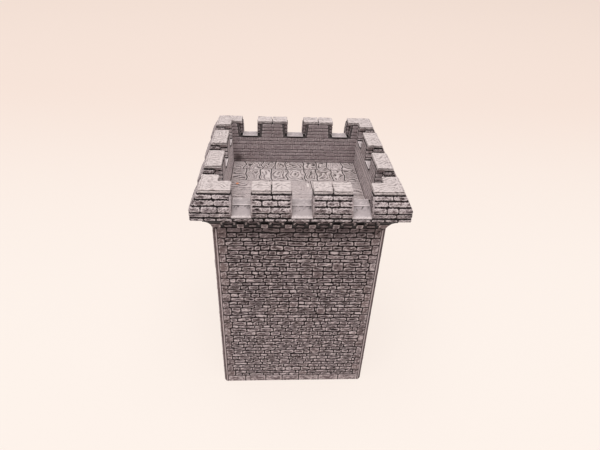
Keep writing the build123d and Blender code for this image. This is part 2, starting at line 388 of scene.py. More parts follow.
def washedCore():    # dark wash between the stones, paler as painted light in the slots under the belt, plain cast resin inside the hollow body
    f = Finish("washedCore")
    x, y, z = (f.part(f.places, axis) for axis in "XYZ")
    blotch, fine, cloud = (f.noise(coreLook[size]) for size in ("blotch", "fine", "cloud"))
    wash = f.mix(blotch.ease(coreLook["patchLow"], coreLook["patchHigh"]), *coreLook["washes"])
    # painted light: the core is paler in the shaded slots between the corbel foot and the belt
    wash = f.mix((z > corbelFoot) * (z < beltFoot), wash, coreLook["slots"])
    outwards = f.vector("NORMALIZE", f.vector("MULTIPLY", f.places, (1, 1, 0)))
    inwards = f.vector("DOT_PRODUCT", f.normal(), outwards, out="Value") < coreLook["inwards"]
    wash = f.mix(inwards, wash, f.mix(blotch, *coreLook["linings"]))
    reach = x.maths("MAXIMUM", x.maths("ABSOLUTE", x), y.maths("ABSOLUTE", y))
    inside = (reach < innerFace + coreLook["margin"]) * (z < deckUnder + coreLook["margin"])
    colour = f.mix(inside, wash, f.mix(cloud, *coreLook["resins"]))
    return f.done(Base_Color=colour, Roughness=coreLook["roughness"], Specular_IOR_Level=coreLook["shine"],
                  Normal=f.bump(fine, coreLook["bump"], coreLook["bumpDepth"]))


finishes = {name: paintedStone(name, look) for name, look in (
    ("wallStone", wallLook), ("quoinStone", quoinLook), ("parapetStone", parapetLook),
    ("liningBrick", liningLook), ("rightBrick", rightPaintedLightLook), ("leftBrick", leftPaintedLightLook),
    ("corbelStone", corbelLook), ("capStone", capLook), ("sillStone", sillLook), ("deckFlag", deckLook))}
core = washedCore()
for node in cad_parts.values():
    node.data.materials.clear()
    node.data.materials.append(core)
print("finishes made", len(finishes) + 1)


# Wall stones: courses of rubble between the quoins, with a taller stone here and there

wall = {"courses": 42, "courseSeed": 3, "courseJitter": 0.2, "joint": 0.22 * mm,
        "shortest": 3.4 * mm, "longest": 9.5 * mm, "usual": 6.0 * mm,
        "tallChance": 0.3, "tallWidths": (3.8, 6.8), "tallMargin": 8 * mm, "tallBelow": 4,
        "wave": 0.3 * mm, "waves": (12 * mm, 40 * mm), "waveRoom": 4 * mm, "waveSquash": 2,
        # the top courses get less relief as painted shade under the overhang, the lower ones more as painted
        # light towards the foot
        "shades": (1.0, 0.94, 0.86, 0.74), "footLight": 0.12,
        "stone": {"bed": 0.46 * mm, "edge": 0.12 * mm, "rim": 0.38 * mm, "rings": (0.5, 1.12, 0.74),
                  "wobble": 0.13 * mm, "corner": 0.6 * mm, "proud": 0.46 * mm, "sink": 0.25 * mm,
                  "streaks": (0.9 * mm, 2.3 * mm), "pitting": 1.25, "hollow": 1.0, "hollowDepth": 0.36 * mm,
                  "endRelief": 0, "rimWave": 0.18, "rough": 0.05 * mm, "tilt": 0.08 * mm,
                  "pace": 0.85 * mm, "rowPace": 0.52 * mm}}
wall["tallStone"] = {**wall["stone"], "rings": (0.5, 1.0, 0.8), "hollow": 0.6}
quoin = {"short": 5.7 * mm, "long": 6.9 * mm, "joint": 0.14 * mm, "bead": 2.14 * mm, "round": 3.0 * mm,
         # the top block is painted darker, as painted shade under the corbels
         "topPaintedShade": 0.85,
         "stone": {**wall["stone"], "bed": 0.24 * mm, "rings": (0.5, 0.98, 0.84), "proud": 0.58 * mm,
                   "wobble": 0.06 * mm, "hollow": 0.75, "hollowDepth": 0.25 * mm, "rough": 0.07 * mm,
                   "pace": 0.6 * mm, "rowPace": 0.55 * mm}}
filling = {"tries": 6, "spread": 0.32, "apart": 0.9 * mm, "splitOver": 1.5, "splitShares": (0.4, 0.6)}

courseRng = np.random.default_rng(wall["courseSeed"])
courseHeights = courseRng.uniform(1 - wall["courseJitter"], 1 + wall["courseJitter"], wall["courses"])
courseWaves = Swell(courseRng, *wall["waves"])
courseShares = np.concatenate([[0], np.cumsum(courseHeights) / courseHeights.sum()])
courseTops = baseTop + (corbelFoot - baseTop) * courseShares


def quoinLeg(block, onFirstFace):    # legs swap from block to block up the corner
    return quoin["short"] if (block % 2 == 0) == onFirstFace else quoin["long"]


def fillRow(rng, start, end, look, avoid=()):    # joints along a row, kept off the joints below
    joints = [start]
    while end - joints[-1] > look["longest"]:
        for attempt in range(filling["tries"]):
            step = rng.lognormal(math.log(look["usual"]), filling["spread"])
            place = joints[-1] + np.clip(step, look["shortest"], look["longest"])
            if all(abs(place - other) > filling["apart"] for other in avoid):
                break
        joints.append(place)
    rest = end - joints[-1]
    if rest > filling["splitOver"] * look["usual"]:
        joints.append(joints[-1] + rest * rng.uniform(*filling["splitShares"]))
    return joints + [end]


def roundedFace(along, lift, face):    # the body's face bends round its corners; along runs on the surface
    flat, reach = bodyFace - quoin["round"], quoin["round"] + lift
    theta = np.clip((np.abs(along) - flat) / quoin["round"], 0, math.pi / 2)
    onFlat = theta <= 0
    bent = np.where(onFlat, along, np.sign(along) * (flat + reach * np.sin(theta)))
    return bent, np.where(onFlat, face + lift, face - reach * (1 - np.cos(theta)) + lift)


def layStone(heap, angle, u0, u1, z0, z1, face, look, joint, shade=1.0):
    bed = look["bed"]
    if u1 - u0 < hewing["leastJoints"] * joint or z1 - z0 < hewing["leastBeds"] * bed:
        return
    across, up, lift, relief = hewBlock(heap.rng, u1 - u0 - joint, z1 - z0 - bed, look)
    along, z = u0 + joint / 2 + across, z0 + bed / 2 + up
    room = np.clip(np.minimum(z - baseTop, corbelFoot - z) / wall["waveRoom"], 0, 1)
    wave = courseWaves.at(np.stack([along + angle * mm, wall["waveSquash"] * z], -1))
    z = z + wave * room * wall["wave"]
    along, out = roundedFace(along, lift, face) if face == bodyFace else (along, face + lift)
    heap.add(toWorld(angle, along, out, z), relief * shade)


def layWall(side, angle, seed):
    heap = StoneHeap(f"{side}WallStones", seed)
    rng, below, margin = heap.rng, [], wall["tallMargin"]
    for pair in range(0, wall["courses"], 2):
        start = -bodyFace + quoinLeg(pair // 2, False)
        end = bodyFace - quoinLeg(pair // 2, True)
        spans = [(start, end)]
        if rng.random() < wall["tallChance"] and pair < wall["courses"] - wall["tallBelow"]:
            width = rng.uniform(*wall["tallWidths"]) * mm
            place = rng.uniform(start + margin, end - margin - width)
            layStone(heap, angle, place, place + width, courseTops[pair], courseTops[pair + 2], bodyFace,
                     wall["tallStone"], wall["joint"])
            spans = [(start, place), (place + width, end)]
        for course in (pair, pair + 1):
            # painted shade on the top courses under the overhang, painted light towards the foot
            shade = wall["shades"][max(0, course + len(wall["shades"]) - wall["courses"])]
            shade *= 1 + wall["footLight"] * max(0, 1 - 2 * course / wall["courses"])
            joints = []
            for span in spans:
                row = fillRow(rng, *span, wall, below)
                for u0, u1 in pairwise(row):
                    layStone(heap, angle, u0, u1, courseTops[course], courseTops[course + 1], bodyFace,
                             wall["stone"], wall["joint"], shade)
                joints += row[1:-1]
            below = joints
    return heap.makeObject(finishes["wallStone"])


# Base course: larger flush stones

base = {"joint": 0.16 * mm, "usual": 11 * mm, "shortest": 8 * mm, "longest": 16 * mm, "lift": 0.12 * mm,
        "stone": {**wall["stone"], "bed": 0.2 * mm, "proud": 0.4 * mm, "wobble": 0.05 * mm,
                  "corner": 0.5 * mm, "rings": (0.5, 1.08, 0.92), "hollow": 0.4, "rimWave": 0.06}}
beadEdge = bodyFace - quoin["bead"]


def layBase(seed):
    heap = StoneHeap("baseStones", seed)
    for side, corner, angle in sides:
        for u0, u1 in pairwise(fillRow(heap.rng, -beadEdge, beadEdge, base)):
            layStone(heap, angle, u0, u1, base["lift"], baseTop, bodyFace, base["stone"], base["joint"])
    return heap.makeObject(finishes["wallStone"])


# Quoins: blocks two courses tall on both faces of a corner, beside its plain rounded arris

bead = {"radius": quoin["round"], "flat": -0.86 * mm, "proud": 0.56 * mm, "sink": 0.3 * mm,
        "rough": 0.03 * mm, "pace": 1.6 * mm, "innerShare": 0.999, "grain": 0.08,
        "shares": (0, 0.2, 0.36, 0.47, 0.55, 0.72, 0.9, 0.96, 1),
        # the middle of the rounding is painted dark as painted shade of its turning side, with a pale brushed
        # line to each side
        "reliefs": (0.4, 0.4, 0.4, 0.45, 0.98, 1.15, 1.1, 0.75, 0.3)}


def layQuoins(corner, angle, seed):
    heap = StoneHeap(f"{corner}QuoinStones", seed)
    blocks = wall["courses"] // 2
    for block in range(blocks):
        z0, z1 = courseTops[2 * block], courseTops[2 * block + 2]
        # painted shade on the top block, under the corbels
        shade = quoin["topPaintedShade"] if block == blocks - 1 else 1
        for turn, u0, u1 in ((angle, bodyFace - quoinLeg(block, True), beadEdge),
                             (angle + 90, -beadEdge, -bodyFace + quoinLeg(block, False))):
            layStone(heap, turn, u0, u1, z0, z1, bodyFace, quoin["stone"], quoin["joint"], shade)
    z = np.arange(base["lift"], corbelFoot, bead["pace"])
    # the arris strip, painted darker along its middle as painted shade
    layBead(heap, angle, 1, np.full(len(z), bodyFace), np.full(len(z), bodyFace), z, bead)
    return heap.makeObject(finishes["quoinStone"])


# Corbel table: arch rings hanging under the overhang, and a small block between each two

corbel = {"arches": 7, "width": 7.2 * mm, "cornerWidth": 5.55 * mm, "bandHeight": 3.4 * mm,
          "crownDrop": 3.5 * mm, "sag": 0.74 * mm, "slot": 3.9 * mm, "slotHeight": 2.7 * mm,
          "ring": 1.5 * mm, "leg": 1.3 * mm, "joint": 0.22 * mm, "recessGap": 0.1 * mm,
          "blockLift": 0.45 * mm, "blockDrop": 0.3 * mm,
          "cornerReach": 4.2 * mm, "cornerRound": 0.8 * mm, "cornerLift": 0.1 * mm, "cornerDrop": 0.2 * mm,
          # painted shade: the recess stones darken towards the arch crowns, and each ring's crown stone is
          # painted dark, its lower stones lighter
          "recessPaintedShades": (0.75, 0.32, 0.2), "legShade": 1.0, "ringPaintedShades": (1.0, 0.8, 0.2, 0.8, 1.0),
          "usual": 6 * mm, "shortest": 4 * mm, "longest": 9 * mm,
          "stone": {**wall["stone"], "bed": 0.22 * mm, "proud": 0.32 * mm, "rim": 0.35 * mm,
                    "wobble": 0.05 * mm, "corner": 0.4 * mm, "hollow": 0.15}}
archRoom = 2 * bodyFace - (corbel["arches"] - 1) * corbel["width"] - 2 * corbel["cornerWidth"]
archWidth = archRoom / corbel["arches"]
archPitch = archWidth + corbel["width"]
archSpring = beltFoot - corbel["crownDrop"] - archWidth / 2
bandFoot = beltFoot - corbel["bandHeight"]
archMiddles = [(i - (corbel["arches"] - 1) / 2) * archPitch for i in range(corbel["arches"])]


def corbelOut(z):    # face of the cove at a height, measured out from the axis
    share = np.clip((z - corbelFoot) / (bandFoot - corbelFoot), 0, 1)
    return bodyFace + (corbelFace - bodyFace) * share - 4 * corbel["sag"] * share * (1 - share)


def layRecesses(heap, angle):    # wall stones that show inside the arches
    # painted shade: the rows darken towards the crown
    rows = np.linspace(corbelFoot, archSpring + archWidth / 2, len(corbel["recessPaintedShades"]) + 1)
    for middle in archMiddles:
        for (z0, z1), shade in zip(pairwise(rows), corbel["recessPaintedShades"]):
            rise = max(0, (z0 + z1) / 2 - archSpring)
            half = math.sqrt(max((archWidth / 2) ** 2 - rise ** 2, 0)) - corbel["recessGap"]
            layStone(heap, angle, middle - half, middle + half, z0, z1, bodyFace,
                     wall["stone"], wall["joint"], shade)


def layArchRing(heap, angle, middle):
    inner, ring, joint = archWidth / 2, corbel["ring"], corbel["joint"]
    sweep = math.pi / len(corbel["ringPaintedShades"])
    # painted shade at the crown of each ring
    for k, shade in enumerate(corbel["ringPaintedShades"]):
        width = sweep * (inner + ring / 2) - joint
        across, up, lift, relief = hewBlock(heap.rng, width, ring, corbel["stone"])
        theta = math.pi - sweep * k - (joint / 2 + across) / (inner + ring / 2)
        along, z = middle + (inner + up) * np.cos(theta), archSpring + (inner + up) * np.sin(theta)
        heap.add(toWorld(angle, along, corbelOut(z) + lift, z), relief * shade)


def layCorbels(side, angle, seed):
    heap = StoneHeap(f"{side}Corbels", seed)
    look, joint, inner, ring = corbel["stone"], corbel["joint"], archWidth / 2, corbel["ring"]
    half, reach, radius = corbel["slot"] / 2, corbel["cornerReach"], corbel["cornerRound"]
    blockTop = bandFoot - corbel["slotHeight"]

    def layOn(u0, u1, z0, z1, raised, shade):    # a stone on the cove
        across, up, lift, relief = hewBlock(heap.rng, u1 - u0 - joint, z1 - z0 - joint, look)
        z = z0 + joint / 2 + up
        heap.add(toWorld(angle, u0 + joint / 2 + across, corbelOut(z) + raised + lift, z), relief * shade)

    layRecesses(heap, angle)
    for first, second in pairwise(archMiddles):
        middle = (first + second) / 2
        layOn(middle - half, middle + half, corbelFoot - corbel["blockDrop"], blockTop,
              corbel["blockLift"], 1)
    for middle in archMiddles:
        for hand in (-1, 1):
            leg = sorted((middle + hand * inner, middle + hand * (inner + ring)))
            layOn(*leg, archSpring - corbel["leg"], archSpring, 0, corbel["legShade"])
        layArchRing(heap, angle, middle)
    for u0, u1 in pairwise(fillRow(heap.rng, -corbelFace, corbelFace, corbel)):
        layStone(heap, angle, u0, u1, archSpring + inner + ring, beltFoot, corbelFace, look, joint)
    across, up, lift, relief = hewTurn(heap.rng, reach, reach, blockTop - corbelFoot, look, radius)
    z = corbelFoot - corbel["cornerDrop"] + up
    face = corbelOut(z) + corbel["cornerLift"]
    path = (across - reach) * (1 + (face - bodyFace) / reach)
    along, out = roundCorner(path, lift, face, face, radius)
    heap.add(toWorld(angle, along, out, z), relief)
    return heap.makeObject(finishes["corbelStone"])


# Parapet: the string course and the rows of each merlon, which turn into the crenels

parapet = {"upright": 3.8 * mm, "batter": 3.9 * mm, "merlonWidth": 18.7 * mm, "joint": 0.38 * mm,
           "bedJoint": 0.46 * mm, "radius": 0.7 * mm, "cornerRadius": 0.8 * mm, "backGap": 0.2 * mm,
           "rowTops": (2.5 * mm, 5.6 * mm, 8.3 * mm, 10.6 * mm), "cutJitter": 0.05,
           "splits": ((0.36, 0.7), (0.5,), (0.3, 0.66), (0.48,)),
           "cornerSplits": ((0.55,), (0.35, 0.7), (0.45,), (0.55,)),
           "stone": {**wall["stone"], "bed": 0.36 * mm, "edge": 0.08 * mm, "rim": 0.3 * mm,
                     "rings": (0.5, 1.08, 0.83), "wobble": 0.11 * mm, "streaks": (0.4 * mm, 1.1 * mm),
                     "pitting": 1.5, "hollow": 0.85, "pace": 0.5 * mm, "rowPace": 0.36 * mm}}
belt = {"joint": 0.36 * mm, "usual": 8 * mm, "shortest": 5 * mm, "longest": 12 * mm, "leg": 6.5 * mm,
        "topGap": 0.35 * mm}
arris = {**bead, "radius": 0.4 * mm, "flat": 0.1 * mm, "proud": 0.36 * mm, "rough": 0.05 * mm,
         "pace": 0.9 * mm, "lift": 0.3 * mm, "reliefs": (0.86, 0.86, 0.84, 0.82, 0.78, 0.74, 0.68, 0.6, 0.3)}
merlonStart = merlonEnd - parapet["merlonWidth"]
rowHeights = [beltTop] + [beltTop + top for top in parapet["rowTops"]]


def merlonOut(z):    # upright foot, then battered inwards
    share = np.clip((z - beltTop - parapet["upright"]) / (merlonTop - beltTop - parapet["upright"]), 0, 1)
    return beltFace - parapet["batter"] * share


def layBelt(seed):
    heap = StoneHeap("beltStones", seed)
    look, joint, radius = parapet["stone"], belt["joint"], parapet["cornerRadius"]
    top, leg = beltTop - belt["topGap"], belt["leg"]
    for side, corner, angle in sides:
        for u0, u1 in pairwise(fillRow(heap.rng, -beltFace + leg, beltFace - leg, belt)):
            layStone(heap, angle, u0, u1, beltFoot, top, beltFace, look, joint)
        reach = leg - joint
        across, up, lift, relief = hewTurn(heap.rng, reach, reach, top - beltFoot - joint, look, radius)
        along, out = roundCorner(across - leg + joint, lift, beltFace, beltFace, radius)
        heap.add(toWorld(angle, along, out, beltFoot + joint / 2 + up), relief)
    return heap.makeObject(finishes["parapetStone"])


def layJambStone(heap, angle, hand, edge, faceEnd, z0, z1):    # round a merlon's edge, back into the crenel
    bed, radius = parapet["bedJoint"], parapet["radius"]
    onFace, depth = abs(edge - faceEnd) - parapet["joint"] / 2, beltFace - bodyFace
    across, up, lift, relief = hewTurn(heap.rng, onFace, depth, z1 - z0 - bed, parapet["stone"], radius)
    z = z0 + bed / 2 + up
    path = across - onFace
    path = np.where(path > 0, path * (merlonOut(z) - bodyFace - parapet["backGap"]) / depth, path)
    along, out = roundCorner(path, lift, edge * hand, merlonOut(z), radius)
    heap.add(toWorld(angle, along * hand, out, z), relief, flip=hand < 0)


def layFaceStone(heap, angle, u0, u1, z0, z1):
    joint, bed = parapet["joint"], parapet["bedJoint"]
    across, up, lift, relief = hewBlock(heap.rng, u1 - u0 - joint, z1 - z0 - bed, parapet["stone"])
    z = z0 + bed / 2 + up
    heap.add(toWorld(angle, u0 + joint / 2 + across, merlonOut(z) + lift, z), relief)


def layArris(heap, angle, hand, edge):    # plain strip up the edge of a merlon
    z = np.arange(beltTop + arris["lift"], merlonTop, arris["pace"])
    layBead(heap, angle, hand, np.full(len(z), edge), merlonOut(z), z, arris)


def rowSpans(splits, rng):    # shares across a merlon, a little different on each
    jitter = parapet["cutJitter"]
    return list(pairwise([0] + [cut + rng.uniform(-jitter, jitter) for cut in splits] + [1]))


def layMerlons(side, angle, seed):
    heap = StoneHeap(f"{side}MerlonStones", seed)
    width = parapet["merlonWidth"]
    for start in (-merlonEnd, merlonStart):
        for (z0, z1), splits in zip(pairwise(rowHeights), parapet["splits"]):
            for a, b in rowSpans(splits, heap.rng):
                u0, u1 = start + a * width, start + b * width
                if a == 0:
                    layJambStone(heap, angle, -1, u0, u1, z0, z1)
                elif b == 1:
                    layJambStone(heap, angle, 1, u1, u0, z0, z1)
                else:
                    layFaceStone(heap, angle, u0, u1, z0, z1)
        layArris(heap, angle, -1, -start)
        layArris(heap, angle, 1, start + width)
    return heap.makeObject(finishes["parapetStone"])


def layCornerMerlon(corner, angle, seed):
    heap = StoneHeap(f"{corner}MerlonStones", seed)
    joint, bed, radius = (parapet[key] for key in ("joint", "bedJoint", "cornerRadius"))
    for (z0, z1), splits in zip(pairwise(rowHeights), parapet["cornerSplits"]):
        middleOut = merlonOut((z0 + z1) / 2)
        reach = middleOut - cornerStart
        spans = rowSpans(splits, heap.rng)
        for turn, hand in ((angle, 1), (angle + 90, -1)):
            for a, b in spans[:-1]:
                u0, u1 = hand * (cornerStart + a * reach), hand * (cornerStart + b * reach)
                if a == 0:
                    layJambStone(heap, turn, -hand, u0, u1, z0, z1)
                else:
                    layFaceStone(heap, turn, min(u0, u1), max(u0, u1), z0, z1)
        leg = (1 - spans[-1][0]) * reach - joint / 2
        across, up, lift, relief = hewTurn(heap.rng, leg, leg, z1 - z0 - bed, parapet["stone"], radius)
        z = z0 + bed / 2 + up
        face = merlonOut(z)
        path = (across - leg) * (1 + (face - middleOut) / leg)
        along, out = roundCorner(path, lift, face, face, radius)
        heap.add(toWorld(angle, along, out, z), relief)
    layArris(heap, angle, -1, -cornerStart)
    layArris(heap, angle + 90, 1, -cornerStart)
    return heap.makeObject(finishes["parapetStone"])


# Lining: neat brick courses on the inner faces, up to the backs of the merlons

# painted shade: the lower courses darker towards the deck; painted light: the left and right linings lighter
# than the back
lining = {"courses": (3, 3.9, 3.3, 3, 5, 3.6, 3.5), "tabCourses": 4, "shades": (0.94, 1.12),
          "turnShade": 1.34, "joint": 0.02 * mm, "bedJoint": 0.25 * mm,
          "usual": 4.6 * mm, "shortest": 2.8 * mm, "longest": 7.0 * mm, "outline": 0.95 * mm,
          "stepLow": 1.4 * mm, "stepHigh": 2.2 * mm, "stepGap": 0.22 * mm, "sillThick": 0.95 * mm,
          "stone": {**wall["stone"], "edge": 0.07 * mm, "rim": 0.24 * mm, "proud": 0.1 * mm,
                    "sink": 0.12 * mm, "wobble": 0.04 * mm, "endRelief": 0.36, "corner": 0.3 * mm,
                    "rough": 0.03 * mm, "tilt": 0.04 * mm, "hollow": 0.3, "hollowDepth": 0.1 * mm}}


def layBrick(heap, angle, u0, u1, z0, z1, face, shade=1.0):
    joint, bed = lining["joint"], lining["bedJoint"]
    across, up, lift, relief = hewBlock(heap.rng, u1 - u0 - joint, z1 - z0 - bed, lining["stone"])
    points = toWorld(angle, u0 + joint / 2 + across, face - lift, z0 + bed / 2 + up)
    heap.add(points, relief * shade, flip=True)


def layReveal(heap, angle, hand, edge, z0, z1):    # a brick on the side of a merlon's back
    bed, depth = lining["bedJoint"], bodyFace - innerFace - lining["stepGap"]
    across, up, lift, relief = hewBlock(heap.rng, depth, z1 - z0 - bed, lining["stone"])
    points = toWorld(angle, edge + hand * lift, innerFace + across, z0 + bed / 2 + up)
    heap.add(points, relief, flip=hand < 0)


def layBack(heap, angle, inner, outer, z0, z1):    # a course on a merlon's back and on the steps beside it
    share = ((z0 + z1) / 2 - sillTop) / (merlonTop - sillTop)
    step = lining["stepLow"] + (lining["stepHigh"] - lining["stepLow"]) * share
    tabStep = step + lining["outline"]
    atCorner = outer >= innerFace
    steps = [(inner, 1)] if atCorner else [(inner, 1), (outer, -1)]
    tab = (inner + tabStep, innerFace if atCorner else outer - tabStep)
    stepFoot = max(z0, sillTop)
    for hand in (-1, 1):
        for u0, u1 in pairwise(fillRow(heap.rng, *sorted(hand * end for end in tab), lining)):
            layBrick(heap, angle, u0, u1, z0, z1, innerFace)
        for end, inwards in steps:
            ends = sorted((hand * end, hand * (end + inwards * (step - lining["stepGap"]))))
            layBrick(heap, angle, *ends, stepFoot, z1, bodyFace)
            layReveal(heap, angle, -hand * inwards, hand * (end + inwards * step), stepFoot, z1)


def layLining(side, angle, seed):
    heap = StoneHeap(f"{side}Lining", seed)
    below, top = [], sillTop - lining["sillThick"]
    shares = np.cumsum((0, *lining["courses"])) / sum(lining["courses"])
    # painted light on the left and right linings, painted shade towards the deck
    turnShade = lining["turnShade"] if angle % 180 else 1
    for (z0, z1), share in zip(pairwise(deckTop + (top - deckTop) * shares), shares):
        shade = np.interp(share, (0, 1), lining["shades"]) * turnShade
        row = fillRow(heap.rng, -innerFace, innerFace, lining, below)
        for u0, u1 in pairwise(row):
            layBrick(heap, angle, u0, u1, z0, z1, innerFace, shade)
        below = row[1:-1]
    for z0, z1 in pairwise(np.linspace(top, merlonTop, lining["tabCourses"] + 1)):
        layBack(heap, angle, merlonStart, merlonEnd, z0, z1)
        layBack(heap, angle, cornerStart, innerFace, z0, z1)
    return heap.makeObject(finishes.get(f"{side}Brick", finishes["liningBrick"]))


seeds = {"wall": 11, "quoin": 21, "corbel": 31, "merlon": 41, "corner": 51, "lining": 61,
         "base": 71, "belt": 72, "paving": 81, "trim": 91}
for k, (side, corner, angle) in enumerate(sides):
    layWall(side, angle, seeds["wall"] + k)
    layQuoins(corner, angle, seeds["quoin"] + k)
    layCorbels(side, angle, seeds["corbel"] + k)
    layMerlons(side, angle, seeds["merlon"] + k)
    layCornerMerlon(corner, angle, seeds["corner"] + k)
    layLining(side, angle, seeds["lining"] + k)
layBase(seeds["base"])
layBelt(seeds["belt"])


# Roof deck: long flags between wavy joints, with swirling strata

paving = {"rows": (-3.6 * mm, 13.8 * mm, 29 * mm), "joints": ((-0.38, 0.3), (-0.42, 0.235)), "backFlags": 9,
          "jitter": 0.2, "joint": 0.2 * mm, "thinJoint": 0.08 * mm, "wave": 0.6 * mm, "straight": 1 * mm,
          "swirls": (9 * mm, 22 * mm), "ripples": (5 * mm, 11 * mm), "bends": (5 * mm, 14 * mm),
          "spacing": 2.2 * mm, "swirl": 1.7, "ripple": 0.15, "grain": 2.2, "grainFrom": 25 * mm,
          "grainAmount": 0.75, "plainFrom": 10 * mm, "plainAmount": 0.36, "plainShares": (0.7, 1.1),
          "fade": 6 * mm, "strata": 0.14 * mm, "strataGain": 1.6, "strataPower": 2.2, "strataLow": 0.6,
          "strataRelief": 0.75, "mostRelief": 1.1,
          "stone": {"edge": 0.12 * mm, "rim": 0.4 * mm, "pace": 0.48 * mm, "proud": 0.3 * mm,
                    "sink": 0.3 * mm, "shoulderShare": 0.55, "rough": 0.012 * mm, "rings": (0.4, 1.0, 0.62)}}


def layFlag(heap, left, right, near, far, joint, swells):    # each edge is a function of the place along it
    look = paving["stone"]
    depth, width = far(0) - near(0), right(0) - left(0)
    s = crowd(width, look, look["pace"]) / width
    t = crowd(depth, look, look["pace"]) / depth
    u, v = np.meshgrid(s, t)
    y = (near(0) + joint) * (1 - v) + (far(0) - joint) * v
    x = (left(y) + joint) * (1 - u) + (right(y) - joint) * u
    y = (near(x) + joint) * (1 - v) + (far(x) - joint) * v
    flat = np.stack([x, y], -1)
    i, j = np.meshgrid(np.arange(len(s)), np.arange(len(t)))
    ring = np.minimum(np.minimum(i, len(s) - 1 - i), np.minimum(j, len(t) - 1 - j))
    edgewise = np.clip((np.abs(x) - paving["grainFrom"]) / paving["fade"], 0, 1)
    fromEdge = np.minimum(np.minimum(u, 1 - u) * width, np.minimum(v, 1 - v) * depth)
    swirl = fromEdge + paving["swirl"] * swells[0].at(flat) * mm
    grain = y + paving["grain"] * swells[0].at(flat) * mm
    phase = (swirl * (1 - edgewise) + grain * edgewise) / paving["spacing"]
    phase = phase + paving["ripple"] * swells[1].at(flat)
    plain = np.clip((y - paving["plainFrom"]) / paving["fade"], paving["plainAmount"], 1)
    plain = np.maximum(plain * heap.rng.uniform(*paving["plainShares"]), edgewise * paving["grainAmount"])
    crest = (0.5 + 0.5 * np.cos(2 * math.pi * phase)) ** paving["strataPower"]
    strata = (paving["strataGain"] * crest - paving["strataLow"]) * plain * (ring > 2)
    lifts = [-look["sink"], look["proud"] * look["shoulderShare"], look["proud"]]
    lift = np.choose(np.minimum(ring, 2), lifts) + strata * paving["strata"]
    lift = lift + heap.rng.normal(0, look["rough"], x.shape)
    relief = np.choose(np.minimum(ring, 3), [0.0, *look["rings"]]) + paving["strataRelief"] * strata
    points = np.concatenate([flat, deckTop + lift[..., None]], -1)
    heap.add(points, np.clip(relief, 0, paving["mostRelief"]))


def layPaving(seed):
    heap = StoneHeap("deckFlags", seed)
    rng, reach = heap.rng, innerFace - lining["stone"]["proud"]
    swells = Swell(rng, *paving["swirls"]), Swell(rng, *paving["ripples"])

    def wavyEdge(place):    # a joint's place, bending as it runs; the edges of the deck are straight
        bends = Swell(rng, *paving["bends"])
        wave = paving["wave"] if abs(place) < reach - paving["straight"] else 0
        return lambda along: place + wave * bends.at(np.stack([along, 0 * np.asarray(along)], -1))

    rows = [wavyEdge(y) for y in (-reach, *paving["rows"], reach)]
    even = np.linspace(-1, 1, paving["backFlags"] + 1)[1:-1]
    loose = rng.uniform(-2, 2, (2, len(even))) * paving["jitter"] / paving["backFlags"]
    for (near, far), joints in zip(pairwise(rows), (*paving["joints"], even + loose[0], even + loose[1])):
        joint = paving["joint"] if len(joints) > 2 else paving["thinJoint"]
        edges = [wavyEdge(share * reach) for share in (-1, *joints, 1)]
        for left, right in pairwise(edges):
            layFlag(heap, left, right, near, far, joint, swells)
    return heap.makeObject(finishes["deckFlag"])


layPaving(seeds["paving"])


# Caps and sills, shaped in edit mode

cap = {"joint": 0.45 * mm, "slope": 0.7 * mm, "round": 0.55 * mm, "roundSteps": 3, "grid": 0.65 * mm,
       "drop": 0.12 * mm, "foot": merlonTop + 0.12 * mm, "jitter": 0.2 * mm, "topBand": 0.3 * mm,
       "strata": ((0.55 * mm, 0.08 * mm), (1.15 * mm, 0.42 * mm)), "strataWidth": 0.3 * mm,
       "lines": ((0.7 * mm, 0.16 * mm), (1.9 * mm, 0.1 * mm)), "lineSeed": 7,
       "bands": 0.18 * mm, "bandScale": 7 * mm, "bandTurn": 45, "bandNoise": 0.75, "bandSwirl": 16,
       "endStrip": 0.9 * mm, "lumps": ((0.5 * mm, 3.6 * mm), (0.12 * mm, 1.3 * mm)),
       # steep sides are painted darker than the tops, as painted shade
       "flat": 0.7, "sharp": 0.24 * mm, "sidePaintedShade": 0.2, "tint": 0.5}
sill = {"overhang": 0.4 * mm, "thick": lining["sillThick"], "crest": 0.12 * mm, "flatDepth": 2.3 * mm,
        "lip": 0.35 * mm, "proud": 0.15 * mm, "depth": 1.0 * mm, "gap": 0.15 * mm, "reach": 0.3 * mm,
        "round": 0.14 * mm, "roundSteps": 1, "grid": 0.8 * mm, "crestRoom": 1.2 * mm, "innerRoom": 0.6 * mm,
        "foot": beltTop + 0.15 * mm, "lumps": ((0.18 * mm, 3.0 * mm), (0.06 * mm, 1.2 * mm)),
        "flat": 0.62, "sharp": 0.5 * mm, "sidePaintedShade": 0, "tint": 0.5}
sillCrest, sillOuter = bodyFace + sill["flatDepth"], beltFace + sill["reach"]
# Places outwards, with the relief there
sill["wear"] = [(innerFace - 0.4 * mm, 0.35), (innerFace, 0.3), (innerFace + 0.3 * mm, 0.06),
                (sillCrest - 0.5 * mm, 0.1), (sillCrest - 0.2 * mm, 0.55), (sillCrest + 0.1 * mm, 0.5),
                (sillCrest + 0.35 * mm, -0.5), (sillCrest + 0.8 * mm, -0.24),
                (sillOuter - 1.6 * mm, 0.0), (sillOuter - 0.5 * mm, 0.2)]
trim = {"near": 0.1 * mm, "onPlane": 0.01 * mm, "speckle": 0.05, "steep": 0.6, "foldMargin": 0.05 * mm,
        "smoothAngle": 50, "facing": 0.9}


def pickVerts(piece, test):    # selects the vertices whose place passes the test
    bpy.ops.object.mode_set(mode="OBJECT")
    for part in (piece.data.vertices, piece.data.edges, piece.data.polygons):
        part.foreach_set("select", [False] * len(part))
    for vertex in piece.data.vertices:
        vertex.select = test(vertex.co)
    bpy.ops.object.mode_set(mode="EDIT")
    bpy.ops.mesh.select_mode(type="VERT")


